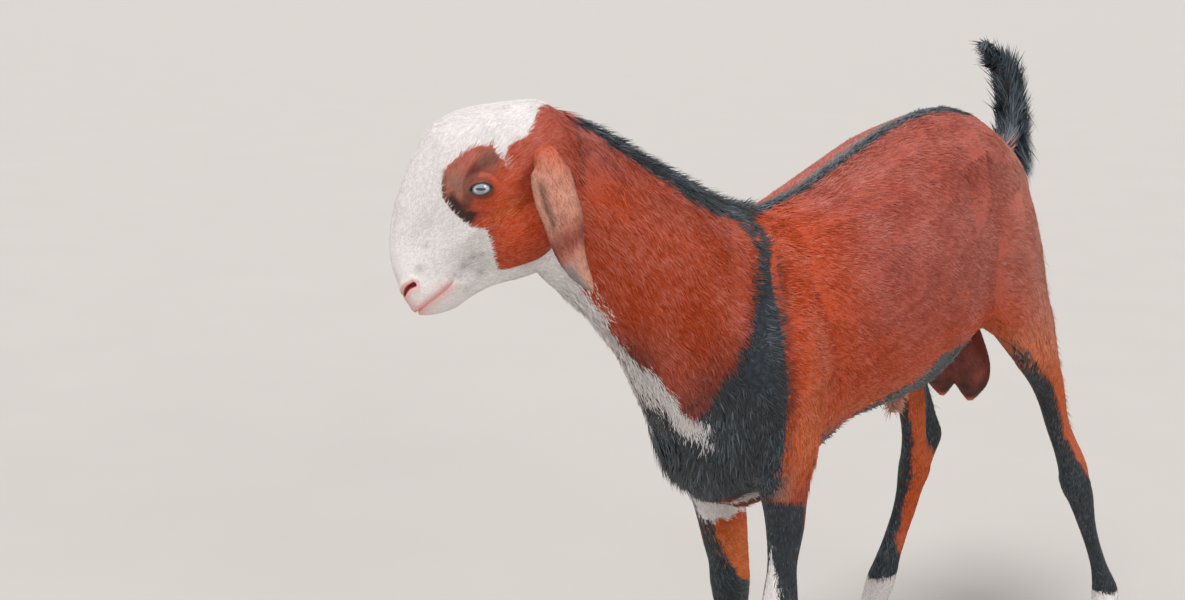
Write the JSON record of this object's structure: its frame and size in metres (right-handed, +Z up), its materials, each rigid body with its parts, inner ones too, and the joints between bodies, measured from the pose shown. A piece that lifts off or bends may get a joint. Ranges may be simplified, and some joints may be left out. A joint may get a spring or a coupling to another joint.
{
  "type": "goat",
  "caption": "Life-size still model of a standing polled buck goat, lean and long-legged, with drooping ears, head turned to its right and tail raised.",
  "frame": {"origin": "on the floor, under the middle of the bounding box", "axes": "+Z up, the goat faces -Y, its left side is +X"},
  "size_m": [0.3248, 1.1354, 0.8677],
  "materials": {
    "coat_red": "short glossy red-brown coat over skin",
    "coat_black": "short glossy black coat over skin",
    "coat_white": "short white coat over pink skin",
    "coat_tan": "short tan coat over a thin ear",
    "horn": "dark horn of hooves and dewclaws",
    "eye": "wet pale eyeball with a dark slit pupil"
  },
  "bodies": {
    "root": {"claw_fore_left_a": "horn", "claw_fore_left_b": "horn", "claw_fore_right_a": "horn", "claw_fore_right_b": "horn", "claw_hind_left_a": "horn", "claw_hind_left_b": "horn", "claw_hind_right_a": "horn", "claw_hind_right_b": "horn", "dewclaw_fore_left_a": "horn", "dewclaw_fore_left_b": "horn", "dewclaw_fore_right_a": "horn", "dewclaw_fore_right_b": "horn", "dewclaw_hind_left_a": "horn", "dewclaw_hind_left_b": "horn", "dewclaw_hind_right_a": "horn", "dewclaw_hind_right_b": "horn", "ear_left": "coat_tan", "ear_right": "coat_tan", "eye_left": "eye", "eye_right": "eye", "foot_fore_left": "coat_black", "foot_fore_right": "coat_black", "foot_hind_left": "coat_black", "foot_hind_right": "coat_black", "forearm_fore_left": "coat_red", "forearm_fore_right": "coat_red", "gaskin_hind_left": "coat_red", "gaskin_hind_right": "coat_red", "head": "coat_white", "lower_jaw": "coat_white", "neck": "coat_red", "scrotum": "coat_black", "shank_fore_left": "coat_black", "shank_fore_right": "coat_black", "shank_hind_left": "coat_black", "shank_hind_right": "coat_black", "sheath": "coat_red", "shoulder_fore_left": "coat_red", "shoulder_fore_right": "coat_red", "tail": "coat_black", "thigh_hind_left": "coat_red", "thigh_hind_right": "coat_red", "trunk": "coat_red"}
  },
  "joints": []
}
